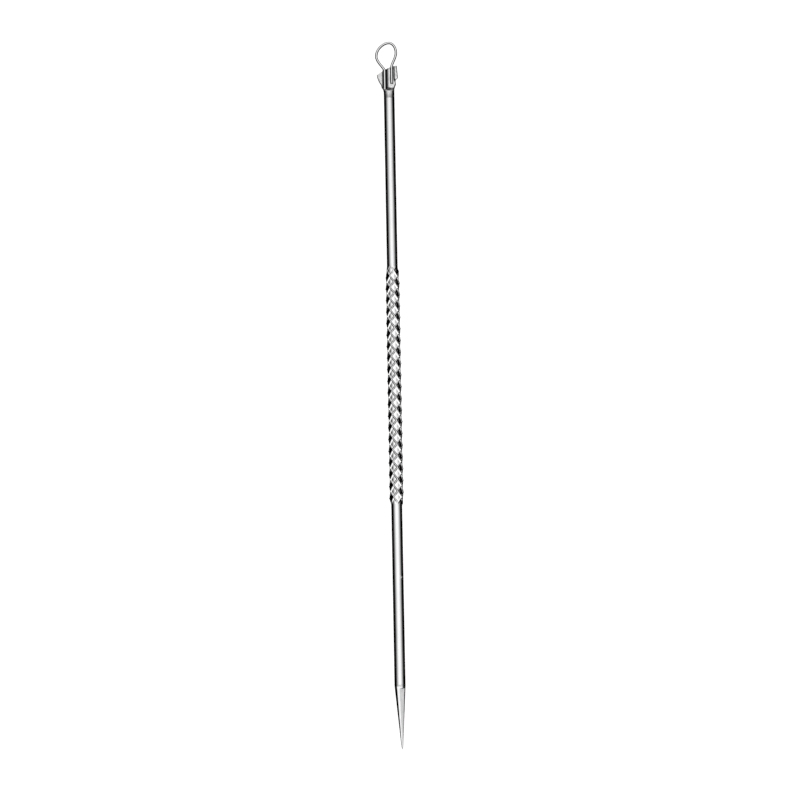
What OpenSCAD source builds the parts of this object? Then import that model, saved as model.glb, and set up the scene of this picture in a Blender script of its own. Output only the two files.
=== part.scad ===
// Blackhead extractor with a ground needle point at one end and a wire loop at the other.
// It lies on a table along Y: the point is at -Y, the loop at +Y and its plane is level.
// The origin is on the table under the middle of the knurled grip. Sizes are in millimetres.

/* [Bar] */
// Diameter of the round bar
bar_d = 1.8; // [1.6:0.1:2.2]
// Length from the tip of the point to the grip
lower_l = 39.8; // [30:0.1:50]
// Length of the plain shank between the grip and the pressed end
upper_l = 30.8; // [20:0.1:40]

/* [Grip] */
// Length of the knurled grip
grip_l = 40.4; // [24:0.1:50]
// Distance along the bar from one diamond to the next
knurl_pitch = 1.97; // [1.4:0.01:2.6]
// Number of ridges that run round the bar in each direction, an odd number
knurl_starts = 5; // [5:2:7]
// Diameter over the crossings of the ridges
knurl_peak_d = 2.5; // [2.3:0.05:2.9]
// Diameter at the floor of the diamond-shaped pits between the ridges
knurl_floor_d = 1.92; // [1.7:0.02:2.1]
// How far a ridge dips between two crossings, as a share of its height
ridge_dip = 0.25; // [0.2:0.01:0.35]
// Length over which the ridges rise at the loop's end of the grip
fade_upper_l = 2.6; // [1:0.1:4]
// Length over which the ridges rise at the point's end of the grip
fade_lower_l = 1.2; // [1:0.1:4]

/* [Needle point] */
// Angle between the point's cone and its axis
point_angle = 4.35; // [4:0.05:7]
// Width that the point's cone would have at its tip
tip_d = 0.24; // [0.16:0.01:0.4]
// Width of the nose, to which the last of the cone is rubbed down
nose_d = 0.1; // [0.06:0.01:0.14]
// Angle between the nose and its axis
nose_angle = 11; // [8:0.5:20]
// Distance of the tip to the right of the bar's axis, from grinding by hand
tip_shift = 0.2; // [0:0.01:0.3]
// How much flatter than the cone the ground flats lie, in degrees
flat_ease = 0.5; // [0.3:0.05:0.7]

/* [Pressed end] */
// Length of the pressed end along its longer edge
press_l = 4.65; // [4:0.05:6]
// Thickness of the pressed end
press_t = 0.84; // [0.7:0.01:1]
// Width of the pressed end without its ears
press_w = 1.96; // [1.9:0.01:2.4]
// Length of the slope from the round bar to the pressed faces
press_slope_l = 0.7; // [0.4:0.05:1]
// How far the end's left edge is cut back from its right edge
end_cut = 0.72; // [0.3:0.01:1]
// Thickness of the squeezed-out ears where they meet the pressed end
ear_t = 0.36; // [0.2:0.02:0.5]
// Thickness of the ears at their rim
rim_t = 0.14; // [0.1:0.02:0.2]
// How far the left ear reaches out of the pressed end
left_ear_w = 0.96; // [0.5:0.02:1.2]
// How far the right ear reaches out of the pressed end
right_ear_w = 0.63; // [0.4:0.01:1]
// Length of the left ear
left_ear_l = 3.3; // [2:0.05:3.5]
// Length of the right ear
right_ear_l = 2.3; // [1.5:0.05:3]
// How far the right side bulges below its ear
bulge_w = 0.28; // [0.1:0.02:0.4]
// Width of the valley beside the left leg, from the leg to the metal between the legs
valley_w = 0.3; // [0.2:0.01:0.4]
// Depth of the valley below the pressed face
valley_depth = 0.34; // [0.1:0.02:0.4]

/* [Wire loop] */
// Diameter of the loop's wire
wire_d = 0.45; // [0.35:0.01:0.55]
// Distance from the pressed end's longer edge to the top of the loop
loop_rise = 4.35; // [3.5:0.05:6]
// Outside width of the loop
loop_w = 3.77; // [3.2:0.01:4.6]
// How far the middle of the loop sits to the left of the bar's axis
loop_shift = 0.39; // [0:0.01:0.6]
// How far the top of the loop leans to the right of the loop's middle
loop_lean = 0.49; // [0:0.01:0.7]
// Distance from the top of the wire to the loop's widest point on the left
left_drop = 2.6; // [1.8:0.05:3]
// Distance from the top of the wire to the loop's widest point on the right
right_drop = 1.95; // [1.4:0.05:2.4]
// Distance between the middles of the wire's two legs
leg_gap = 1.19; // [0.9:0.01:1.2]
// Length of the left leg in its seat
left_leg_l = 3.65; // [2.5:0.05:3.7]
// Length of the right leg in its seat
right_leg_l = 3.05; // [2:0.05:3.4]
// Share of the wire's diameter that stands above the pressed face
leg_proud = 0.35; // [0.1:0.01:0.45]
// Room between the wire and its seat
seat_gap = 0.01; // [0:0.005:0.02]

/* [Hidden] */
$fn = 72;

// Stations along the bar, from the tip of the point to the top of the loop
grip_y0 = -grip_l / 2;
grip_y1 = grip_l / 2;
tip_y = grip_y0 - lower_l;
press_y0 = grip_y1 + upper_l;
press_y1 = press_y0 + press_l;
loop_y1 = press_y1 + loop_rise;

bar_r = bar_d / 2;
peak_r = knurl_peak_d / 2;
floor_r = knurl_floor_d / 2;
wire_r = wire_d / 2;
tip_r = tip_d / 2;
nose_r = nose_d / 2;

// The tool rests on two rows of crossings, half a row's angle each side of the bottom
axis_z = peak_r * cos(90 / knurl_starts);

// Facets between the middle of a pit and the next crossing, along the bar and round it
knurl_div = 3;
knurl_cols = 2 * knurl_starts * knurl_div;
knurl_rows = round(grip_l / (knurl_pitch / 2 / knurl_div));
// The grip's first and last rings, and the slope's, lie this far inside the shank's ends
shank_lap = 0.02;

// Ground flats round the point: the direction each faces, its length and its share of the ease
point_flats = [
    [71, 9.7, 1.8],
    [95, 10, 0.9],
    [14, 9.2, 0.6],
    [150, 9.5, 0.6],
    [205, 9.7, 0.6],
    [265, 9.4, 0.6],
    [320, 9.6, 0.6]
];
// Share of the tip's radius at which the flats start
flat_start = 0.8;

// The pressed faces lie a little off the bar's axis, like the legs between them
press_mid_x = -0.06;
left_x = press_mid_x - press_w / 2;
right_x = press_mid_x + press_w / 2;
face_z = press_t / 2;

// The legs lie a little to the left of the axis, sunk into the upper pressed face
leg_mid_x = -0.105;
left_leg_x = leg_mid_x - leg_gap / 2;
right_leg_x = leg_mid_x + leg_gap / 2;
leg_z = face_z + leg_proud * wire_d - wire_r;

// The wire leaves its seat just inside the slanting end of the bar
function end_y(x) = press_y1 - end_cut * (right_x - x) / press_w;
neck_in = 0.25;
left_neck_y = end_y(left_leg_x) - neck_in;
right_neck_y = end_y(right_leg_x) - neck_in / 4;

// Centre line of the loop: its widest points and its top
loop_mid_x = -loop_shift;
reach_x = (loop_w - wire_d) / 2;
wire_top_y = loop_y1 - wire_r;
left_wide = [loop_mid_x - reach_x, wire_top_y - left_drop + wire_r];
right_wide = [loop_mid_x + reach_x, wire_top_y - right_drop + wire_r];
loop_top = [loop_mid_x + loop_lean, wire_top_y];
left_neck = [left_leg_x, left_neck_y];
right_neck = [right_leg_x, right_neck_y];

wire_sides = 12;
bend_steps = 12;
// Number of the bend's steps that the seat follows out of the bar
seat_steps = 5;

// A point on the cubic curve from a to d that heads for b and arrives from c
function on_curve(a, b, c, d, t) =
    pow(1 - t, 3) * a + 3 * t * pow(1 - t, 2) * b + 3 * t * t * (1 - t) * c + t * t * t * d;

// A bend from a to d, where start and finish are the pulls of the curve at its two ends
function bend(a, start, finish, d) =
    [for (i = [0 : bend_steps - 1]) on_curve(a, a + start, d - finish, d, i / bend_steps)];

// Pulls at the necks, the widest points and the top, as shares of the distances between them
left_rise = left_wide[1] - left_neck[1];
right_rise = right_wide[1] - right_neck[1];
top_left_w = loop_top[0] - left_wide[0];
top_right_w = right_wide[0] - loop_top[0];
left_arch = loop_top[1] - left_wide[1];
right_arch = loop_top[1] - right_wide[1];

loop_path = concat(
    [[left_leg_x, end_y(left_leg_x) - left_leg_l]],
    bend(left_neck, [0, 0.16 * left_rise], [0, 0.4 * left_rise], left_wide),
    bend(left_wide, [0, 0.54 * left_arch], [0.45 * top_left_w, 0], loop_top),
    bend(loop_top, [0.53 * top_right_w, 0], [0, -0.55 * right_arch], right_wide),
    bend(right_wide, [0, -0.4 * right_rise], [0, -0.23 * right_rise], right_neck),
    [right_neck, [right_leg_x, end_y(right_leg_x) - right_leg_l]]
);
loop_rings = len(loop_path);
left_seat_path = [for (i = [0 : seat_steps + 1]) loop_path[i]];
right_seat_path = [for (i = [loop_rings - seat_steps - 2 : loop_rings - 1]) loop_path[i]];

// Direction of a path at its point k, of length one
function heading(path, k) =
    let (
        last = len(path) - 1,
        d = path[min(k + 1, last)] - path[max(k - 1, 0)]
    )
    d / norm(d);

// A round wire of radius r along a path in a level plane, closed at both ends
module wire(path, r) {
    rings = len(path);
    points = [
        for (k = [0 : rings - 1])
            let (t = heading(path, k))
                for (m = [0 : wire_sides - 1])
                    let (a = 360 * (m + 0.5) / wire_sides)
                        [path[k][0] - t[1] * r * cos(a), path[k][1] + t[0] * r * cos(a), r * sin(a)]
    ];
    sides = [
        for (k = [0 : rings - 2])
            for (m = [0 : wire_sides - 1])
                let (
                    n = (m + 1) % wire_sides,
                    a = k * wire_sides + m,
                    b = k * wire_sides + n,
                    c = (k + 1) * wire_sides + n,
                    d = (k + 1) * wire_sides + m
                )
                each [[a, d, c], [a, c, b]]
    ];
    first_cap = [for (m = [0 : wire_sides - 1]) m];
    last_cap = [for (m = [wire_sides - 1 : -1 : 0]) (rings - 1) * wire_sides + m];
    polyhedron(points, concat(sides, [first_cap, last_cap]), convexity = 6);
}

// Place across one set of ridges, from 0 midway between two of them to 1 on a ridge
function fold(t) = abs(t - 2 * round(t / 2));

// Height across one set of ridges, nearly level between them and steep at the ridge
function flank(t) = pow(fold(t), 3);

// Height of the knurl at column i and row j, from 0 in a pit to 1 on a crossing
function knurl_height(i, j) =
    let (
        a = flank((i + j) / knurl_div),
        b = flank((i - j) / knurl_div)
    )
    (1 - ridge_dip) * max(a, b) + ridge_dip * min(a, b);

// How far the ridges have risen at row j, from 0 at an end of the grip to 1
function knurl_rise(j) =
    let (step = grip_l / knurl_rows)
    min(1, j * step / fade_lower_l, (knurl_rows - j) * step / fade_upper_l);

function knurl_r(i, j) =
    bar_r - shank_lap + knurl_rise(j)
        * (floor_r - bar_r + shank_lap + (peak_r - floor_r) * knurl_height(i, j));

// Does the ridge by the facet at column i and row j fall along the bar, or rise?
function ridge_falls(i, j) =
    (floor(i / knurl_div) + floor(j / knurl_div)) % 2 == 0;

// The rolled knurl: two sets of crossing ridges with diamond-shaped pits between them
module knurled_grip() {
    points = [
        for (j = [0 : knurl_rows])
            for (i = [0 : knurl_cols - 1])
                let (a = 360 * i / knurl_cols, r = knurl_r(i, j))
                    [r * cos(a), grip_y0 + grip_l * j / knurl_rows, r * sin(a)]
    ];
    sides = [
        for (j = [0 : knurl_rows - 1])
            for (i = [0 : knurl_cols - 1])
                let (
                    n = (i + 1) % knurl_cols,
                    a = j * knurl_cols + i,
                    b = j * knurl_cols + n,
                    c = (j + 1) * knurl_cols + n,
                    d = (j + 1) * knurl_cols + i
                )
                each ridge_falls(i, j) ? [[a, b, d], [b, c, d]] : [[a, b, c], [a, c, d]]
    ];
    first_cap = [for (i = [knurl_cols - 1 : -1 : 0]) i];
    last_cap = [for (i = [0 : knurl_cols - 1]) knurl_rows * knurl_cols + i];
    polyhedron(points, concat(sides, [first_cap, last_cap]), convexity = 10);
}

// A round rod along the bar's axis from y0 to y1
module rod(r, y0, y1) {
    translate([0, y0, 0])
        rotate([-90, 0, 0])
            cylinder(h = y1 - y0, r = r);
}

// Puts its children at the tip, with their Z along the axis of the point's cone
module at_tip() {
    point_l = (bar_r - tip_r) / tan(point_angle);
    translate([tip_shift, tip_y, 0])
        rotate([0, 0, atan(tip_shift / point_l)])
            rotate([-90, 0, 0])
                children();
}

// The lower shank and its point, ground by hand with flats round the cone
module lower_shank() {
    cone_l = lower_l + 1;
    difference() {
        intersection() {
            rod(bar_r, tip_y - 1, grip_y0 + shank_lap);
            at_tip()
                cylinder(h = cone_l, r1 = tip_r, r2 = tip_r + cone_l * tan(point_angle));
            at_tip()
                cylinder(h = cone_l, r1 = nose_r, r2 = nose_r + cone_l * tan(nose_angle));
        }
        for (flat = point_flats)
            at_tip()
                rotate([0, 0, -flat[0]])
                    translate([tip_r * flat_start, 0, 0])
                        rotate([0, point_angle - flat[2] * flat_ease, 0])
                            translate([0, -bar_d, -1])
                                cube([bar_d, 2 * bar_d, flat[1] + 1]);
    }
}

// The round bar runs out into the flat pressed end
module press_slope() {
    hull() {
        rod(bar_r - shank_lap, press_y0 - shank_lap, press_y0, $fn = 32);
        translate([left_x, press_y0 + press_slope_l, -press_t / 2])
            cube([press_w, shank_lap, press_t]);
    }
}

// Outline of the pressed end seen from above, slanting at its end and bulging on the right
module press_outline() {
    bulge_y = press_y1 - right_ear_l - 0.9;
    polygon([
        [left_x, press_y0 + press_slope_l],
        [left_x, end_y(left_x)],
        [right_x, press_y1],
        [right_x, bulge_y + 1.4],
        [right_x + bulge_w, bulge_y],
        [right_x, press_y0 + press_slope_l]
    ]);
}

// Outlines of the two ears, which start inside the pressed end
module ear_outlines() {
    inside = 0.3;
    left_top_y = end_y(left_x);
    left_rim_x = left_x - left_ear_w;
    polygon([
        [left_x + inside, left_top_y - 0.05],
        [left_x, left_top_y - 0.15],
        [left_rim_x, left_top_y - 0.24 * left_ear_l],
        [left_rim_x + 0.02, left_top_y - 0.36 * left_ear_l],
        [left_rim_x + 0.3 * left_ear_w, left_top_y - 0.6 * left_ear_l],
        [left_rim_x + 0.7 * left_ear_w, left_top_y - 0.8 * left_ear_l],
        [left_rim_x + 0.8 * left_ear_w, left_top_y - 0.94 * left_ear_l],
        [left_x + inside, left_top_y - left_ear_l]
    ]);
    right_rim_x = right_x + right_ear_w;
    polygon([
        [right_x - inside, press_y1 - 0.1],
        [right_rim_x - 0.16, press_y1 - 0.04],
        [right_rim_x, press_y1 - 0.94 * right_ear_l],
        [right_x + 0.2, press_y1 - 1.04 * right_ear_l],
        [right_x - inside, press_y1 - 1.2 * right_ear_l]
    ]);
}

// The ears thin out from the pressed end to their rims
module ear_section() {
    left_rim_x = left_x - left_ear_w;
    right_rim_x = right_x + right_ear_w;
    translate([0, press_y0, 0])
        rotate([-90, 0, 0])
            linear_extrude(press_l)
                polygon([
                    [left_rim_x, -rim_t / 2],
                    [left_x, -ear_t / 2],
                    [right_x, -ear_t / 2],
                    [right_rim_x, -rim_t / 2],
                    [right_rim_x, rim_t / 2],
                    [right_x, ear_t / 2],
                    [left_x, ear_t / 2],
                    [left_rim_x, rim_t / 2]
                ]);
}

module ears() {
    intersection() {
        translate([0, 0, -ear_t])
            linear_extrude(2 * ear_t)
                ear_outlines();
        ear_section();
    }
}

// The valley beside the left leg, whose far flank rises to the metal between the legs
module leg_valley() {
    brim_z = bar_r + 0.1;
    leg_side_x = left_leg_x + wire_r;
    valley_y0 = end_y(left_leg_x) - left_leg_l;
    translate([0, valley_y0, 0])
        rotate([-90, 0, 0])
            linear_extrude(press_l)
                polygon([
                    [left_leg_x + 0.9 * wire_r, -brim_z],
                    [left_leg_x + 0.9 * wire_r, valley_depth / 2 - face_z],
                    [leg_side_x + 0.03, valley_depth - face_z],
                    [leg_side_x + valley_w, -face_z],
                    [leg_side_x + valley_w, -brim_z]
                ]);
}

// The pressed end, where the bar's metal grips the two legs of the wire
module pressed_end() {
    difference() {
        union() {
            press_slope();
            translate([0, 0, -press_t / 2])
                linear_extrude(press_t)
                    press_outline();
            ears();
        }
        translate([0, 0, leg_z]) {
            wire(left_seat_path, wire_r + seat_gap);
            wire(right_seat_path, wire_r + seat_gap);
        }
        leg_valley();
    }
}

// One bar of stainless steel from the point to the pressed end
module handle_bar() {
    color("silver")
        translate([0, 0, axis_z]) {
            lower_shank();
            knurled_grip();
            rod(bar_r, grip_y1 - shank_lap, press_y0);
            pressed_end();
        }
}

// The bent wire that is pressed onto the skin, with its legs in the pressed end
module wire_loop() {
    color("gainsboro")
        translate([0, 0, axis_z + leg_z])
            wire(loop_path, wire_r);
}

handle_bar();
wire_loop();
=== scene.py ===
"""The looks of a blackhead extractor: one steel bar with a ground point, a rolled knurl
and a pressed end, and the bent wire loop that the pressed end holds.

The tool lies along Y with its loop at +Y. Sizes are in millimetres until a mesh is written."""

import math

import bpy
import numpy as np
from mathutils import Matrix, Vector


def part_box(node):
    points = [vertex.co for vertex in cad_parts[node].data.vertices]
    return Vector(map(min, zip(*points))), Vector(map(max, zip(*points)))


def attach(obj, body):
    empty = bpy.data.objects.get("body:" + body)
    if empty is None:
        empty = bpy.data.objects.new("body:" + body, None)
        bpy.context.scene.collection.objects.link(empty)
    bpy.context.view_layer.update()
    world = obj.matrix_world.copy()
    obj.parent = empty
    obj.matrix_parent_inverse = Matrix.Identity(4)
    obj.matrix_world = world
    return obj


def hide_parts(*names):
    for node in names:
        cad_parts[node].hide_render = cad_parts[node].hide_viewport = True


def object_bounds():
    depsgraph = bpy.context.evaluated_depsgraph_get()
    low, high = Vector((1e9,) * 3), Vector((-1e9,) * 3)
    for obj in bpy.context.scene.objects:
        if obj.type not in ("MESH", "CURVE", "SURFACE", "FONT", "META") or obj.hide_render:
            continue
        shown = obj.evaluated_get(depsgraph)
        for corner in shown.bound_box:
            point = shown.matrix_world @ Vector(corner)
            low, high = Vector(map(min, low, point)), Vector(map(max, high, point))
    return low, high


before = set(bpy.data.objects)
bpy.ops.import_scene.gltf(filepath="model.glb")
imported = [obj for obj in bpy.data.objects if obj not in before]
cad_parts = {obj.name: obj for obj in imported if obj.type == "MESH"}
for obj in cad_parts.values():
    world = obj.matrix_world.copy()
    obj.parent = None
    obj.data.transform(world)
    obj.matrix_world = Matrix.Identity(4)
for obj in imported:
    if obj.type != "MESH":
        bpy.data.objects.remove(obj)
CAD_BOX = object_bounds()
BODY = "root"
MM = 0.001
# The bar keeps this far inside the box of the solids
BOX_GAP = 0.001
BOX_LOW = np.array(CAD_BOX[0]) / MM + BOX_GAP
BOX_HIGH = np.array(CAD_BOX[1]) / MM - BOX_GAP

# Stations along the bar, taken from the frame where it gives them
TIP_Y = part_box("handle_bar")[0].y / MM
PRESS_Y1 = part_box("handle_bar")[1].y / MM
LOOP_Y1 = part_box("wire_loop")[1].y / MM
GRIP_Y0, GRIP_Y1 = -20.2, 20.2
PRESS_L = 4.65
PRESS_Y0 = PRESS_Y1 - PRESS_L

# Bar and knurl, and the lengths over which the ridges rise at the knurl's two ends
BAR_R = 0.9
PEAK_R, FLOOR_R = 1.25, 0.96
KNURL_PITCH = 1.973
KNURL_STARTS = 5
FADE_LOWER, FADE_UPPER = 1.2, 2.6
AXIS_Z = PEAK_R * math.cos(math.radians(90 / KNURL_STARTS))
# How fast the ridges rise there, and how many times faster the floors of the pits do
FADE_POWER, FLOOR_FADE = 0.6, 4
# Half width of a ridge, as a share of the way to midway between two ridges, how steep its sides
# are, how much lower it is between two crossings, and how far its crest is worn down
RIDGE_W, RIDGE_STEEP, RIDGE_DIP, RIDGE_WEAR = 0.18, 2.5, 0.38, 0.012
# Rounding of the inner corner where two ridges meet
CORNER_ROUND = 0.1

# The mesh has this many steps from a crossing to the next row of them, both ways
CELL_STEPS = 11
AROUND = 2 * KNURL_STARTS * CELL_STEPS
RING_STEP = KNURL_PITCH / 2 / CELL_STEPS
# Middle of one of the pits, as a direction and a station. It lies on a corner of the mesh, and so
# do the crests of the ridges
PIT_STEP = 35
PIT_TURN, PIT_Y = PIT_STEP * 2 * math.pi / AROUND, -0.313

# Ground point: its cone, the nose that the tip is rubbed down to, and the flats with the
# direction, the length and the share of the ease of each
POINT_ANGLE, NOSE_ANGLE = math.radians(4.35), math.radians(11)
FLAT_EASE = math.radians(0.5)
TIP_R, NOSE_R = 0.12, 0.05
TIP_SHIFT = 0.2
# A flat's distance from the middle at the tip, as a share of TIP_R, the length over which it runs
# out into the bar, and the rounding of its edges
FLAT_TIP, FLAT_END, FLAT_ROUND = 0.8, 0.07, 0.008
# Rounding where the nose meets the cone, and where the cone meets the bar
NOSE_ROUND, BAR_ROUND = 0.01, 0.012
POINT_FLATS = [(71, 9.7, 1.8), (95, 10.0, 0.9), (14, 9.2, 0.6), (150, 9.5, 0.6),
               (205, 9.7, 0.6), (265, 9.4, 0.6), (320, 9.6, 0.6)]

# Pressed end, seen from above
PRESS_W, PRESS_T = 1.96, 0.84
PRESS_MID_X = -0.06
LEFT_X, RIGHT_X = PRESS_MID_X - PRESS_W / 2, PRESS_MID_X + PRESS_W / 2
END_CUT = 0.72
EAR_T, RIM_T = 0.36, 0.14
# Distance over which an ear thins from its root to RIM_T
EAR_THIN = 0.9
# The section's outline is |x| ^ power + |z| ^ power = 1, round in the bar and squarer when pressed
ROUND_POWER, SQUARE_POWER = 2, 6.5

# Wire, its two legs and its loop
WIRE_R = 0.225
# The scene's wire is round and lies just inside the twelve-sided wire of the solids
ROUND_WIRE_R = WIRE_R * 0.967
WIRE_SIDES = 28
LEG_X = (-0.70, 0.49)
LEG_L = (3.65, 3.05)
LEG_Z = PRESS_T / 2 + 0.35 * 2 * WIRE_R - WIRE_R
LOOP_W, LOOP_SHIFT, LOOP_LEAN = 3.77, 0.39, 0.49
LEFT_DROP, RIGHT_DROP = 2.6, 1.95
# How far down each leg the loop begins to bend, and the points on each bend and along a leg
LEFT_NECK, RIGHT_NECK = 0.25, 0.0625
BEND_STEPS, LEG_STEP = 26, 0.15
# The wire keeps its light colour on its upper and lower faces from this sine of the angle round the
# wire, and below it its sides get a painted dark reflection
PAINTED_LIGHT_SINE = 0.86


def smooth(t):
    """0 below 0, 1 above 1, and a soft step between."""
    t = np.clip(t, 0, 1)
    return t * t * (3 - 2 * t)


def soft_min(a, b, k):
    """The smaller of a and b, with their corner rounded over k."""
    h = np.clip(0.5 + 0.5 * (b - a) / k, 0, 1)
    return b + (a - b) * h - k * h * (1 - h)


def soft_max(a, b, k):
    """The larger of a and b, with their corner rounded over k."""
    return -soft_min(-a, -b, k)


def ripple(*waves):
    """A small unevenness that looks random but is the same each time."""
    return sum(size * np.sin(rate * place + start) for size, rate, place, start in waves)


# Camera, as the photograph was taken: from above and a little from the needle's end

PHOTO_W, PHOTO_H = 790, 788
PHOTO_FOCAL_PX = 3046.6
PHOTO_GRIP_MID = (394.48, 385.0)
CAMERA_DISTANCE = 0.5
CAMERA_ELEVATION = math.radians(75)
CAMERA_ROLL = math.radians(1.06)


def make_camera():
    data = bpy.data.cameras.new("camera")
    data.sensor_width = 36
    data.lens = PHOTO_FOCAL_PX / PHOTO_W * data.sensor_width
    data.shift_x = (PHOTO_W / 2 - PHOTO_GRIP_MID[0]) / PHOTO_W
    data.shift_y = (PHOTO_GRIP_MID[1] - PHOTO_H / 2) / PHOTO_W
    data.clip_start = 0.01
    camera = bpy.data.objects.new("camera", data)
    bpy.context.scene.collection.objects.link(camera)
    target = Vector((0, 0, AXIS_Z * MM))
    away = Vector((0, -math.cos(CAMERA_ELEVATION), math.sin(CAMERA_ELEVATION)))
    turn = Matrix.Rotation(math.pi / 2 - CAMERA_ELEVATION, 4, "X")
    roll = Matrix.Rotation(-CAMERA_ROLL, 4, "Z")
    camera.matrix_world = Matrix.Translation(target + CAMERA_DISTANCE * away) @ turn @ roll
    bpy.context.scene.camera = camera


# Meshes made of rings

def make_object(name, points, faces, zones=None, relief_and_painted_light=None):
    """An object with smooth faces, a material for each zone and, for each point, a value that is the
    knurl's relief or a share of painted light and shade.
    """
    mesh = bpy.data.meshes.new(name)
    mesh.from_pydata((points * MM).tolist(), [], faces)
    if zones is not None:
        mesh.polygons.foreach_set("material_index", zones)
    if relief_and_painted_light is not None:
        attribute = mesh.attributes.new("relief_and_painted_light", "FLOAT", "POINT")
        attribute.data.foreach_set("value", np.asarray(relief_and_painted_light, np.float32))
    mesh.polygons.foreach_set("use_smooth", [True] * len(faces))
    mesh.update()
    obj = bpy.data.objects.new(name, mesh)
    bpy.context.scene.collection.objects.link(obj)
    return obj


def quads(a, b, count):
    """Faces between two rings of the same count, which start at points a and b."""
    return [(a + i, a + (i + 1) % count, b + (i + 1) % count, b + i) for i in range(count)]


def split_quads(a, b, low, high):
    """Triangles between two rings at points a and b, whose shared edges follow the higher corners."""
    found = []
    count = len(low)
    for i in range(count):
        j = (i + 1) % count
        if low[i] + high[j] > low[j] + high[i]:
            found += [(a + i, a + j, b + j), (a + i, b + j, b + i)]
        else:
            found += [(a + i, a + j, b + i), (a + j, b + j, b + i)]
    return found


def fan_out(a, b, count):
    """Faces between a ring of count points at a and one of twice as many at b."""
    found = []
    for i in range(count):
        near, far = a + i, a + (i + 1) % count
        first, middle, last = b + 2 * i, b + 2 * i + 1, b + (2 * i + 2) % (2 * count)
        found += [(near, middle, first), (near, far, middle), (far, last, middle)]
    return found


def join_rings(a, b, count_a, count_b):
    """Faces between two rings of the same count, or of which one has twice the other's."""
    if count_a == count_b:
        return quads(a, b, count_a)
    if count_b == 2 * count_a:
        return fan_out(a, b, count_a)
    return [tuple(reversed(face)) for face in fan_out(b, a, count_b)]


# The bar's rings, each with its zone and a value for each point: the knurl's relief, or how free of
# painted shade the pressed end is

POINT, SHANK, KNURL, PRESSED = range(4)


def angles(count):
    """Directions of count points round the bar, from +X towards +Z."""
    return 2 * math.pi * np.arange(count) / count


def ring(centre_x, y, radius, theta):
    """Points in the directions theta, radius away from the bar's axis moved to centre_x."""
    return np.stack([centre_x + radius * np.cos(theta), np.full_like(theta, y),
                     AXIS_Z + radius * np.sin(theta)], 1)


def point_ring(s, theta):
    """The section of the ground point at s from its tip: a cone with flats, inside the bar."""
    cone_l = (BAR_R - TIP_R) / math.tan(POINT_ANGLE)
    centre_x = TIP_SHIFT * max(0, 1 - s / cone_l)
    nose = NOSE_R + s * math.tan(NOSE_ANGLE) + 0 * theta
    radius = soft_min(TIP_R + s * math.tan(POINT_ANGLE), nose, NOSE_ROUND)
    for number, (direction, length, share) in enumerate(POINT_FLATS):
        flat_r = FLAT_TIP * TIP_R + s * math.tan(POINT_ANGLE - share * FLAT_EASE)
        end = length + ripple((0.05, 4.0, theta, number), (0.03, 11.0, theta, 2 * number))
        facing = np.cos(theta - math.radians(direction))
        grind = ripple((0.002, 2.1, s, number), (0.0012, 5.3, s, 2 + number))
        flat = (flat_r + grind) / np.maximum(facing, 0.3)
        over = smooth((s - end) / FLAT_END)
        radius = soft_min(radius, flat + over * BAR_R, FLAT_ROUND)
    inside = np.sqrt(BAR_R ** 2 - (centre_x * np.sin(theta)) ** 2) - centre_x * np.cos(theta)
    return ring(centre_x, TIP_Y + s, soft_min(radius, inside, BAR_ROUND), theta)


def fold(t):
    """Distance from the nearest ridge of one set, from 0 on a ridge to 1 midway between two."""
    return 1 - np.abs(t - 2 * np.round(t / 2))


def knurl_height(theta, y):
    """Height of the rolled ridges, from 0 in a pit to 1 on a crossing."""
    around = (PIT_TURN - theta) / math.pi * KNURL_STARTS
    along = (y - PIT_Y) / (KNURL_PITCH / 2)
    first = np.exp(-(fold(around + along) / RIDGE_W) ** RIDGE_STEEP)
    second = np.exp(-(fold(around - along) / RIDGE_W) ** RIDGE_STEEP)
    higher, lower = soft_max(first, second, CORNER_ROUND), np.minimum(first, second)
    return (1 - RIDGE_DIP) * higher + RIDGE_DIP * lower


def knurl_ring(y, theta):
    """A section of the knurl, with the height of its points above the pits."""
    low, high = (y - GRIP_Y0) / FADE_LOWER, (GRIP_Y1 - y) / FADE_UPPER
    rise = float(np.clip(min(low, high), 0, 1) ** FADE_POWER)
    floor_rise = float(smooth(FLOOR_FADE * min(low, high)))
    height = knurl_height(theta, y)
    wear = ripple((0.008, 1.0, 3 * theta + 1.7 * y, 0), (0.006, 1.0, 2 * theta - 2.9 * y, 1))
    floor = BAR_R + (FLOOR_R - BAR_R) * floor_rise
    radius = floor + rise * (PEAK_R - FLOOR_R - RIDGE_WEAR + wear) * height
    return ring(0, y, radius, theta), rise * height


# Nick in the lower shank: its station, its direction and its half sizes along and across
NICK_Y, NICK_DIRECTION = -32.26, math.radians(53)
NICK_ALONG, NICK_ACROSS, NICK_DEPTH = 0.13, 0.09, 0.06


def shank_ring(y, theta):
    """A section of the plain shank, with the nick and the lip that is raised round it."""
    away = np.hypot((y - NICK_Y) / NICK_ALONG, (theta - NICK_DIRECTION) * BAR_R / NICK_ACROSS)
    dent = NICK_DEPTH * (np.exp(-away ** 2) - 0.45 * np.exp(-(away - 1.5) ** 2 * 4))
    return ring(0, y, BAR_R - dent, theta)


# Reach of the ears out of the pressed end, as stations and lengths
LEFT_TOP_Y = PRESS_Y1 - END_CUT
LEFT_EAR_Y = [-3.45, -3.1, -2.64, -1.98, -1.19, -0.79, -0.5, -0.15]
LEFT_EAR_X = [0.0, 0.19, 0.29, 0.67, 0.94, 0.96, 0.62, 0.02]
RIGHT_EAR_Y = [-3.95, -3.2, -2.75, -2.45, -2.2, -1.2, -0.04, 0.0]
RIGHT_EAR_X = [0.0, 0.28, 0.20, 0.24, 0.62, 0.55, 0.46, 0.42]
# The thick metal bulges below the right ear, at full thickness
BULGE_Y = [-3.9, -3.2, -2.2]
BULGE_X = [0.0, 0.26, 0.0]


def press_share(y):
    """How far the round bar has turned into the flat pressed end."""
    return smooth((y - PRESS_Y0 + 0.1) / 1.0)


# Level of the upper face where nothing cuts it down, and the gap between a leg and its seat
UNCUT, SEAT_GAP = 9.0, 0.01
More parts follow.
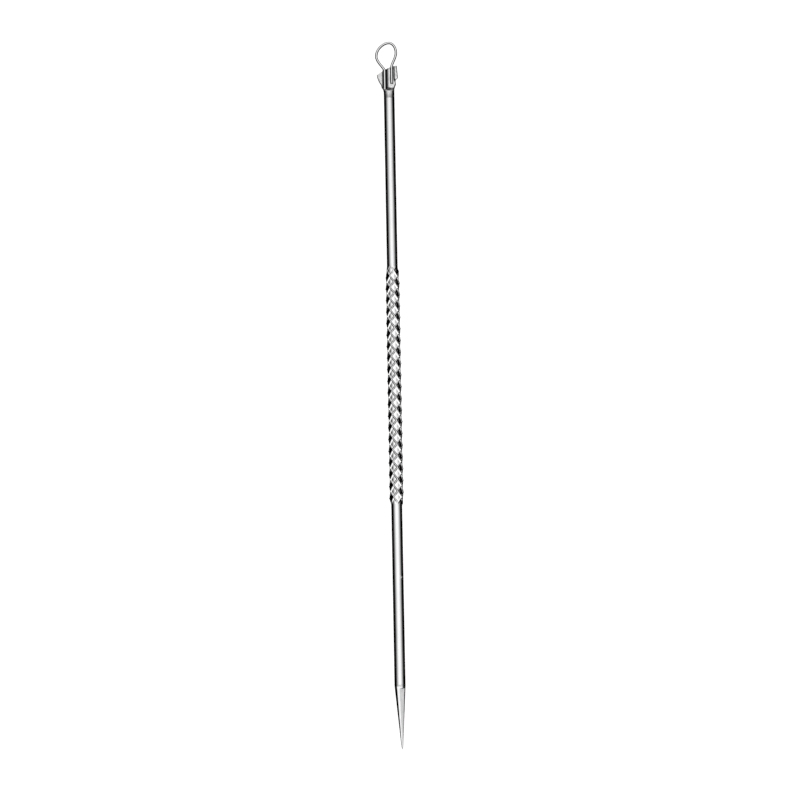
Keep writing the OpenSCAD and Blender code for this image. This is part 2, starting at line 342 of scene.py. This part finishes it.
# The valley beside the left leg: its foot, and the slopes of its two flanks
VALLEY_X, VALLEY_Z = -0.445, 0.08
NEAR_SLOPE, FAR_SLOPE = 3.2, 1.26
# The metal between the legs is crowned, highest at the right leg
CROWN_X, CROWN_BEND = 0.25, 0.47
# Width over which the rim of an ear is rounded
RIM_ROUND = 0.2
# Painted shade in the valley, in the creases along the ears and on their rims: the depth and the
# widths over which it comes in
PAINTED_SHADE_DEPTH, CREASE_W, RIM_W = 0.14, 0.14, 0.20


def seat_depth(x, y):
    """Height to which the upper face is cut down under and beside the wire's legs."""
    level = np.full_like(x, UNCUT)
    for leg_x, leg_l in zip(LEG_X, LEG_L):
        end = PRESS_Y1 - END_CUT * (RIGHT_X - leg_x) / PRESS_W - leg_l
        dx = np.abs(x - leg_x)
        under = LEG_Z - np.sqrt(np.maximum((WIRE_R + SEAT_GAP) ** 2 - dx ** 2, 0))
        under = np.where(dx < WIRE_R + 2 * SEAT_GAP, under, UNCUT)
        level = np.minimum(level, np.where(y > end, under, UNCUT))
    valley = VALLEY_Z + np.maximum(NEAR_SLOPE * (VALLEY_X - x), FAR_SLOPE * (x - VALLEY_X))
    crown = PRESS_T / 2 - CROWN_BEND * (x - CROWN_X) ** 2
    beside = (x > LEG_X[0]) & (x < CROWN_X)
    lift = (1 - smooth((y - PRESS_Y0 - 0.1) / 0.8)) * BAR_R
    return np.minimum(level, np.where(beside, np.minimum(valley, crown) + lift, UNCUT))


def press_ring(y_right, slant, theta, squeeze=1.0):
    """A section of the pressed end, with how free of painted shade its points are.

    Its right edge lies at y_right, and it slants by slant."""
    left, right = LEFT_X, RIGHT_X
    # The slant moves the left edge to another station, where it reaches out differently
    for _ in range(4):
        y_left = y_right - slant * END_CUT * (RIGHT_X - left) / PRESS_W
        share_l, share_r = press_share(y_left), press_share(y_right)
        reach_l = np.interp(y_left - LEFT_TOP_Y, LEFT_EAR_Y, LEFT_EAR_X)
        reach_r = np.interp(y_right - PRESS_Y1, RIGHT_EAR_Y, RIGHT_EAR_X)
        left = -BAR_R + share_l * (LEFT_X + BAR_R) - reach_l
        right = BAR_R + share_r * (RIGHT_X - BAR_R) + reach_r
    middle, half = (left + right) / 2, (right - left) / 2
    x = middle + half * np.cos(theta)
    y = y_right - slant * END_CUT * (RIGHT_X - x) / PRESS_W
    share = press_share(y)
    body_l = -BAR_R + share * (LEFT_X + BAR_R)
    bulge = np.interp(y - PRESS_Y1, BULGE_Y, BULGE_X)
    body_r = BAR_R + share * (RIGHT_X - BAR_R) + bulge
    across = np.clip((2 * x - body_l - body_r) / (body_r - body_l), -1, 1)
    power = ROUND_POWER + (SQUARE_POWER - ROUND_POWER) * share
    body_t = BAR_R + share * (PRESS_T / 2 - BAR_R)
    body = body_t * (1 - np.abs(across) ** power) ** (1 / power)
    rim = np.minimum(np.abs(x - left), np.abs(right - x))
    edge = np.minimum(np.abs(x - body_l), np.abs(x - body_r))
    out = np.clip(np.maximum(x - body_r, body_l - x), 0, None)
    ear = (EAR_T - (EAR_T - RIM_T) * np.clip(out / EAR_THIN, 0, 1)) / 2
    ear = ear * np.clip(1 - (1 - np.clip(rim / RIM_ROUND, 0, 1)) ** 1.6, 0, 1) ** 0.7
    half_t = np.where(np.abs(across) >= 1, ear, np.maximum(body, np.minimum(ear, body_t)))
    upper = np.sin(theta) > 0
    dents = ripple((0.012, 4.1, x, 0.4), (0.010, 6.3, y, 1.1), (0.008, 9.0, x + y, 2.0))
    dents = dents * share * np.clip(half_t / 0.1, 0, 1)
    z = half_t + dents
    z = np.where(upper, np.minimum(z, seat_depth(x, y)), -half_t + 0.5 * dents)
    z = np.where(np.abs(np.sin(theta)) < 1e-6, 0, z)
    wide = smooth((right - left - (body_r - body_l)) / 0.3) * share
    # Painted shade: where the face is sunk between the legs, along the creases by the ears and on the
    # ear rims
    sunk = smooth((half_t - z) / PAINTED_SHADE_DEPTH) * (x > LEG_X[0]) * (x < CROWN_X)
    crease = np.exp(-(edge / CREASE_W) ** 2) * wide
    free_of_painted_shade = 1 - np.maximum(sunk, np.maximum(crease, (1 - smooth(rim / RIM_W)) * wide))
    return np.stack([x, y, AXIS_Z + z * squeeze], 1), np.where(upper, free_of_painted_shade, 1.0)


def bar_rings():
    """Every ring of the bar, from the tip of the point to the pressed end's slanting end.

    The point and the pressed end have twice as many points round them as the rest."""
    coarse, fine = angles(AROUND), angles(2 * AROUND)
    rings = []

    def add(zone, points, relief_and_painted_light=0.5):
        rings.append((zone, points, np.full(len(points), 1.0) * relief_and_painted_light))

    for tilt in (80, 55, 30):
        dome = ring(TIP_SHIFT, TIP_Y + NOSE_R * (1 - math.sin(math.radians(tilt))),
                    NOSE_R * math.cos(math.radians(tilt)), fine)
        add(POINT, dome)
    stations = np.concatenate([np.arange(0.04, 8.9, 0.2), np.arange(8.9, 10.4, 0.04)])
    for s in stations:
        add(POINT, point_ring(s, fine))
    add(SHANK, shank_ring(TIP_Y + 10.5, coarse))
    plain = list(np.arange(TIP_Y + 11.5, GRIP_Y0 - 0.4, 1.0))
    near_nick = np.arange(NICK_Y - 0.4, NICK_Y + 0.41, 0.04)
    plain = [y for y in plain if abs(y - NICK_Y) > 0.5]
    for y in sorted(plain + list(near_nick)):
        add(SHANK, shank_ring(y, coarse))
    first = math.ceil((GRIP_Y0 - PIT_Y) / RING_STEP)
    last = math.floor((GRIP_Y1 - PIT_Y) / RING_STEP)
    add(SHANK, shank_ring(GRIP_Y0 - 0.02, coarse))
    for step in range(first, last + 1):
        add(KNURL, *knurl_ring(PIT_Y + RING_STEP * step, coarse))
    add(KNURL, shank_ring(GRIP_Y1 + 0.02, coarse), 0)
    for y in np.arange(GRIP_Y1 + 0.6, PRESS_Y0 - 0.3, 1.0):
        add(SHANK, shank_ring(y, coarse))
    length = PRESS_Y1 - PRESS_Y0 + 0.15
    for share in np.linspace(0, 1, 72):
        y = PRESS_Y0 - 0.15 + (length - 0.03) * share
        add(PRESSED, *press_ring(y, float(smooth(1.3 * share - 0.3)), fine))
    for step in (0.55, 0.85, 1.0):
        add(PRESSED, *press_ring(PRESS_Y1 - 0.03 * (1 - step), 1, fine, 1 - 0.12 * step))
    for squeeze in (0.7, 0.35, 0.0):
        add(PRESSED, *press_ring(PRESS_Y1, 1, fine, squeeze))
    return rings


def make_bar():
    """The bar as one closed mesh, whose flattened last ring is welded shut."""
    points, faces, zones, relief_and_painted_light = [], [], [], []
    start, previous = 0, None
    for zone, ring_points, ring_relief_and_painted_light in bar_rings():
        count = len(ring_points)
        if previous is not None:
            if zone == KNURL:
                made = split_quads(previous[0], start, relief_and_painted_light[-1], ring_relief_and_painted_light)
            else:
                made = join_rings(previous[0], start, previous[1], count)
            faces += made
            zones += [zone] * len(made)
        points.append(ring_points)
        relief_and_painted_light.append(ring_relief_and_painted_light)
        previous = (start, count)
        start += count
    faces.append(tuple(reversed(range(2 * AROUND))))
    zones.append(POINT)
    faces = [tuple(reversed(face)) for face in faces]
    inside = np.clip(np.concatenate(points), BOX_LOW, BOX_HIGH)
    bar = make_object("steel_bar", inside, faces, zones, np.concatenate(relief_and_painted_light))
    weld = bar.modifiers.new("weld", "WELD")
    weld.merge_threshold = 1e-7
    return bar


# The wire loop

def curve(a, pull_a, pull_b, b, steps):
    """Points on a bend from a to b, without b, with the pulls of the curve at its two ends."""
    a, b = np.array(a), np.array(b)
    c, d = a + pull_a, b - pull_b
    t = np.arange(steps)[:, None] / steps
    return (1 - t) ** 3 * a + 3 * t * (1 - t) ** 2 * c + 3 * t * t * (1 - t) * d + t ** 3 * b


def loop_path():
    """Points along the wire's middle: up the left leg, round the loop, and down the right leg."""
    def end_y(x):
        """Station of the pressed end's slanting end at x."""
        return PRESS_Y1 - END_CUT * (RIGHT_X - x) / PRESS_W

    left_x, right_x = LEG_X
    top_y = LOOP_Y1 - WIRE_R
    reach = LOOP_W / 2 - WIRE_R
    left_neck = (left_x, end_y(left_x) - LEFT_NECK)
    right_neck = (right_x, end_y(right_x) - RIGHT_NECK)
    left_wide = (-LOOP_SHIFT - reach, top_y - LEFT_DROP + WIRE_R)
    right_wide = (-LOOP_SHIFT + reach, top_y - RIGHT_DROP + WIRE_R)
    top = (-LOOP_SHIFT + LOOP_LEAN, top_y)
    left_rise, right_rise = left_wide[1] - left_neck[1], right_wide[1] - right_neck[1]
    left_end, right_end = end_y(left_x) - LEG_L[0], end_y(right_x) - LEG_L[1]
    left_leg = [(left_x, y) for y in np.arange(left_end, left_neck[1], LEG_STEP)]
    right_leg = [(right_x, y) for y in np.arange(right_neck[1], right_end, -LEG_STEP)]
    return np.concatenate([
        left_leg,
        curve(left_neck, (0, 0.16 * left_rise), (0, 0.4 * left_rise), left_wide, BEND_STEPS),
        curve(left_wide, (0, 0.54 * (top[1] - left_wide[1])),
              (0.45 * (top[0] - left_wide[0]), 0), top, BEND_STEPS),
        curve(top, (0.53 * (right_wide[0] - top[0]), 0),
              (0, -0.55 * (top[1] - right_wide[1])), right_wide, BEND_STEPS),
        curve(right_wide, (0, -0.4 * right_rise), (0, -0.23 * right_rise), right_neck,
              BEND_STEPS),
        right_leg,
    ])


def make_wire():
    """The wire as one closed tube along its path."""
    sides, radius = WIRE_SIDES, ROUND_WIRE_R
    theta = angles(sides)
    path = loop_path()
    heading = np.gradient(path, axis=0)
    heading /= np.linalg.norm(heading, axis=1)[:, None]
    points = []
    for (x, y), (hx, hy) in zip(path, heading):
        points.append(np.stack([x - hy * radius * np.cos(theta), y + hx * radius * np.cos(theta),
                                AXIS_Z + LEG_Z + radius * np.sin(theta)], 1))
    faces = [tuple(reversed(range(sides)))]
    for k in range(len(points) - 1):
        faces += quads(k * sides, (k + 1) * sides, sides)
    last = (len(points) - 1) * sides
    faces.append(tuple(range(last, last + sides)))
    # Painted dark reflection: this share is 1 on the wire's upper and lower faces and falls to 0
    # along its sides
    painted_lit_share = smooth((np.abs(np.sin(theta)) - PAINTED_LIGHT_SINE) / (1 - PAINTED_LIGHT_SINE))
    return make_object("loop_wire", np.concatenate(points), faces,
                       relief_and_painted_light=np.tile(painted_lit_share, len(path)))


# Materials

class Nodes:
    """A short way to build a material's nodes."""

    def __init__(self, name):
        self.material = bpy.data.materials.new(name)
        self.material.use_nodes = True
        self.tree = self.material.node_tree
        self.shader = self.tree.nodes["Principled BSDF"]

    def add(self, kind, inputs=(), **settings):
        node = self.tree.nodes.new(kind)
        for key, value in settings.items():
            setattr(node, key, value)
        for key, value in dict(inputs).items():
            if isinstance(value, bpy.types.NodeSocket):
                self.tree.links.new(value, node.inputs[key])
            else:
                node.inputs[key].default_value = value
        return node

    def place(self, scale):
        """Object coordinates, stretched by scale."""
        coordinates = self.add("ShaderNodeTexCoord").outputs["Object"]
        mapping = self.add("ShaderNodeMapping", {"Vector": coordinates, "Scale": scale})
        return mapping.outputs[0]

    def noise(self, scale, detail=3.0, rough=0.55):
        """Grey noise with that many waves a metre along each axis."""
        node = self.add("ShaderNodeTexNoise", {"Vector": self.place(scale), "Scale": 1.0,
                                               "Detail": detail, "Roughness": rough})
        return node.outputs["Fac"]

    def to_range(self, value, low, high, start=0.3, end=0.7):
        node = self.add("ShaderNodeMapRange", {"Value": value, "From Min": start, "From Max": end,
                                               "To Min": low, "To Max": high})
        return node.outputs[0]

    def math(self, operation, a, b):
        node = self.add("ShaderNodeMath", {0: a, 1: b}, operation=operation)
        return node.outputs[0]

    def colour(self, value, low, high):
        node = self.add("ShaderNodeMix", {"Factor": value}, data_type="RGBA")
        for socket, colour in (("A", low), ("B", high)):
            [s for s in node.inputs if s.name == socket and s.type == "RGBA"][0].default_value = (
                *colour, 1)
        return [s for s in node.outputs if s.type == "RGBA"][0]

    def bump(self, height, strength, distance, before=None):
        inputs = {"Height": height, "Strength": strength, "Distance": distance}
        if before is not None:
            inputs["Normal"] = before
        return self.add("ShaderNodeBump", inputs).outputs[0]

    def finish(self, colour, roughness, normal):
        self.shader.inputs["Metallic"].default_value = 1
        self.tree.links.new(colour, self.shader.inputs["Base Color"])
        self.tree.links.new(roughness, self.shader.inputs["Roughness"])
        self.tree.links.new(normal, self.shader.inputs["Normal"])
        return self.material


def polished_shank():
    """Centreless ground and buffed: very fine lines round the bar and faint cloudy wear."""
    n = Nodes("polished_shank")
    lines = n.noise((1500, 22000, 1500), 2)
    clouds = n.noise((900, 300, 900), 4)
    colour = n.colour(n.to_range(clouds, 0, 1), (0.74, 0.74, 0.75), (0.80, 0.80, 0.80))
    rough = n.math("ADD", n.to_range(clouds, 0.13, 0.19), n.to_range(lines, -0.02, 0.02))
    return n.finish(colour, rough, n.bump(lines, 0.10, 0.00001))


def rolled_knurl():
    """Rolled ridges, a little darker in colour and a little rougher in the pits between them."""
    n = Nodes("rolled_knurl")
    relief_and_painted_light = n.add("ShaderNodeAttribute", attribute_name="relief_and_painted_light").outputs["Fac"]
    grain = n.noise((9000, 9000, 9000), 3)
    colour = n.colour(n.to_range(relief_and_painted_light, 0, 1, 0.0, 0.25), (0.86, 0.86, 0.86), (0.90, 0.90, 0.90))
    rough = n.math("ADD", n.to_range(relief_and_painted_light, 0.13, 0.11, 0.0, 0.5), n.to_range(grain, -0.04, 0.05))
    return n.finish(colour, rough, n.bump(grain, 0.12, 0.00002))


def ground_point():
    """Ground by hand: scratches across the point and a softer shine."""
    n = Nodes("ground_point")
    scratches = n.noise((3000, 16000, 3000), 3)
    clouds = n.noise((1500, 700, 1500), 3)
    colour = n.colour(n.to_range(clouds, 0, 1), (0.66, 0.66, 0.67), (0.78, 0.78, 0.78))
    rough = n.math("ADD", n.to_range(clouds, 0.12, 0.18), n.to_range(scratches, -0.03, 0.03))
    return n.finish(colour, rough, n.bump(scratches, 0.18, 0.00002))


def pressed_steel():
    """Pressed between dies: mottled and duller than the bar, with painted shade in the valley, along
    the creases by the ears and on the ear rims.
    """
    n = Nodes("pressed_steel")
    clear = n.add("ShaderNodeAttribute", attribute_name="relief_and_painted_light").outputs["Fac"]
    mottle = n.noise((3500, 2200, 3500), 5, 0.65)
    grain = n.noise((14000, 14000, 14000), 3)
    # Painted shade: the base colour goes near black where the pressed end is shaded
    mottle_and_painted_shade = n.math("MULTIPLY", n.to_range(mottle, 0.55, 1), n.to_range(clear, 0, 1, 0, 1))
    colour = n.colour(mottle_and_painted_shade, (0.05, 0.05, 0.055), (0.86, 0.86, 0.86))
    rough = n.math("ADD", n.to_range(mottle, 0.16, 0.28), n.to_range(grain, -0.03, 0.03))
    soft = n.bump(mottle, 0.5, 0.00008)
    return n.finish(colour, rough, n.bump(grain, 0.15, 0.00002, soft))


def drawn_wire():
    """Drawn wire with faint marks, light on its upper and lower faces, with a painted dark reflection
    along its sides.
    """
    n = Nodes("drawn_wire")
    marks = n.noise((5000, 5000, 5000), 4)
    painted_lit_share = n.add("ShaderNodeAttribute", attribute_name="relief_and_painted_light").outputs["Fac"]
    # Painted dark reflection: the base colour goes near black along the wire's sides
    clear = n.math("MULTIPLY", n.to_range(marks, 0.9, 1), n.to_range(painted_lit_share, 0, 1, 0, 1))
    colour = n.colour(clear, (0.05, 0.05, 0.055), (0.88, 0.88, 0.88))
    rough = n.to_range(marks, 0.05, 0.10)
    return n.finish(colour, rough, n.bump(marks, 0.15, 0.00002))


# Studio: a white floor well below the tool, and a soft tent that is bright at its top

FLOOR_Z = -0.4
DOME_TOP = 0.30
# Half widths of the dome across and along the tool: where it is widest, level with the tool, and
# at the floor
DOME_WIDE = (0.22, 0.34)
DOME_FOOT = (0.125, 0.24)
DOME_STRENGTH = 1.36
# How much less the dome darkens along the tool than across it
DOME_STRETCH = 0.55
# Cosine of the angle from overhead at which the dome is black, and how fast it gets there
DOME_DARK = 0.14
DOME_FALL = 1.75


def make_floor():
    material = bpy.data.materials.new("white_floor")
    material.use_nodes = True
    tree = material.node_tree
    shader = tree.nodes["Principled BSDF"]
    shader.inputs["Base Color"].default_value = (0.9, 0.9, 0.9, 1)
    shader.inputs["Roughness"].default_value = 0.9
    shader.inputs["Emission Color"].default_value = (1, 1, 1, 1)
    paths = tree.nodes.new("ShaderNodeLightPath")
    seen = paths.outputs["Is Camera Ray"]
    for kind in ("Is Glossy Ray", "Is Transmission Ray"):
        either = tree.nodes.new("ShaderNodeMath")
        either.operation = "MAXIMUM"
        tree.links.new(seen, either.inputs[0])
        tree.links.new(paths.outputs[kind], either.inputs[1])
        seen = either.outputs[0]
    tree.links.new(seen, shader.inputs["Emission Strength"])
    half = 3.0
    mesh = bpy.data.meshes.new("floor")
    mesh.from_pydata([(-half, -half, FLOOR_Z), (half, -half, FLOOR_Z),
                      (half, half, FLOOR_Z), (-half, half, FLOOR_Z)], [], [(0, 1, 2, 3)])
    mesh.materials.append(material)
    floor = bpy.data.objects.new("floor", mesh)
    bpy.context.scene.collection.objects.link(floor)


def dome_material():
    """Bright overhead, darker towards the sides, and black from just above the tool's level down."""
    material = bpy.data.materials.new("soft_dome")
    material.use_nodes = True
    tree = material.node_tree
    tree.nodes.clear()

    def add(kind, operation, *inputs):
        node = tree.nodes.new(kind)
        node.operation = operation
        for number, value in enumerate(inputs):
            if isinstance(value, bpy.types.NodeSocket):
                tree.links.new(value, node.inputs[number])
            else:
                node.inputs[number].default_value = value
        return node.outputs[0]

    place = tree.nodes.new("ShaderNodeTexCoord").outputs["Object"]
    towards = add("ShaderNodeVectorMath", "MULTIPLY", place, (1, DOME_STRETCH, 1))
    parts = tree.nodes.new("ShaderNodeSeparateXYZ")
    tree.links.new(add("ShaderNodeVectorMath", "NORMALIZE", towards), parts.inputs[0])
    above = add("ShaderNodeMath", "SUBTRACT", parts.outputs["Z"], DOME_DARK)
    share = add("ShaderNodeMath", "DIVIDE", above, 1 - DOME_DARK)
    lit = add("ShaderNodeMath", "MAXIMUM", share, 0.0)
    light = add("ShaderNodeMath", "POWER", lit, DOME_FALL)
    emission = tree.nodes.new("ShaderNodeEmission")
    strength = add("ShaderNodeMath", "MULTIPLY", light, DOME_STRENGTH)
    tree.links.new(strength, emission.inputs["Strength"])
    output = tree.nodes.new("ShaderNodeOutputMaterial")
    tree.links.new(emission.outputs[0], output.inputs["Surface"])
    return material


def make_dome():
    """A soft dome over the tool, whose black skirt runs down to the floor just outside the view."""
    segments = 72
    levels = [(FLOOR_Z + 0.001, *DOME_FOOT)]
    for angle in np.radians(np.linspace(0, 88, 34)):
        levels.append((DOME_TOP * math.sin(angle), DOME_WIDE[0] * math.cos(angle),
                       DOME_WIDE[1] * math.cos(angle)))
    turn = angles(segments)
    points = [(wide * math.cos(a), deep * math.sin(a), z) for z, wide, deep in levels for a in turn]
    faces = []
    for k in range(len(levels) - 1):
        faces += quads(k * segments, (k + 1) * segments, segments)
    faces.append(tuple(range((len(levels) - 1) * segments, len(levels) * segments)))
    mesh = bpy.data.meshes.new("dome")
    mesh.from_pydata(points, [], faces)
    mesh.materials.append(dome_material())
    dome = bpy.data.objects.new("dome", mesh)
    dome.visible_camera = False
    bpy.context.scene.collection.objects.link(dome)


def make_world():
    world = bpy.data.worlds.new("white_world")
    world.use_nodes = True
    background = world.node_tree.nodes["Background"]
    background.inputs["Color"].default_value = (1, 1, 1, 1)
    background.inputs["Strength"].default_value = 1
    bpy.context.scene.world = world


def dress():
    bar = make_bar()
    for make in (ground_point, polished_shank, rolled_knurl, pressed_steel):
        bar.data.materials.append(make())
    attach(bar, BODY)
    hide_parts("handle_bar")
    wire = make_wire()
    wire.data.materials.append(drawn_wire())
    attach(wire, BODY)
    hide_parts("wire_loop")


make_camera()
make_floor()
make_dome()
make_world()
dress()
bpy.context.scene.view_settings.view_transform = "Standard"
